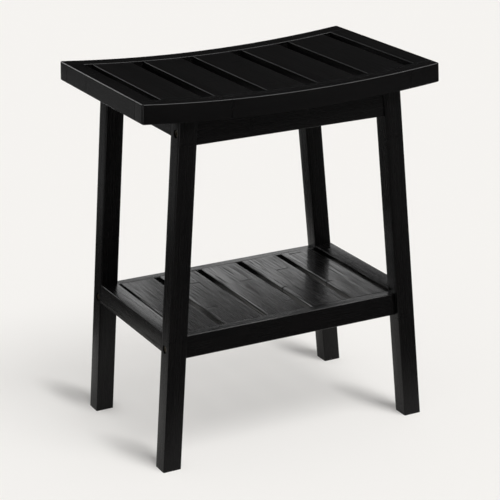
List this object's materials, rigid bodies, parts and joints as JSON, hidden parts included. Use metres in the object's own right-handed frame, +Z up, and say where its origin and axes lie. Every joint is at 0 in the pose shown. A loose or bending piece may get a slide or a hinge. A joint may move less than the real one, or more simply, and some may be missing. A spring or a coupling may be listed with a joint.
{
  "type": "slatted stool",
  "caption": "Slatted stool with a dished seat on splayed legs and a slatted shelf between them, in black-lacquered bamboo joined with connector bolts.",
  "frame": {"origin": "on the floor under the middle of the seat", "axes": "+X to the right along the seat, +Y to the rear, +Z up; the front long side faces -Y"},
  "size_m": [0.4272, 0.27, 0.4998],
  "materials": {
    "black_bamboo": "satin black lacquer over bamboo, grain faintly visible",
    "fastener_steel": "yellow-passivated zinc"
  },
  "bodies": {
    "root": {"seat_front_rail": "black_bamboo", "seat_rear_rail": "black_bamboo", "seat_left_end_rail": "black_bamboo", "seat_right_end_rail": "black_bamboo", "leg_front_left": "black_bamboo", "leg_front_right": "black_bamboo", "leg_rear_left": "black_bamboo", "leg_rear_right": "black_bamboo", "apron_front": "black_bamboo", "apron_rear": "black_bamboo", "side_apron_left": "black_bamboo", "side_apron_right": "black_bamboo", "side_stretcher_left": "black_bamboo", "side_stretcher_right": "black_bamboo", "shelf_front_rail": "black_bamboo", "shelf_rear_rail": "black_bamboo", "seat_slat_1": "black_bamboo", "seat_slat_2": "black_bamboo", "seat_slat_3": "black_bamboo", "seat_slat_4": "black_bamboo", "seat_slat_5": "black_bamboo", "shelf_slat_1": "black_bamboo", "shelf_slat_2": "black_bamboo", "shelf_slat_3": "black_bamboo", "shelf_slat_4": "black_bamboo", "shelf_slat_5": "black_bamboo", "connector_bolts": "fastener_steel", "barrel_nuts": "fastener_steel", "seat_screws": "fastener_steel"}
  },
  "joints": []
}
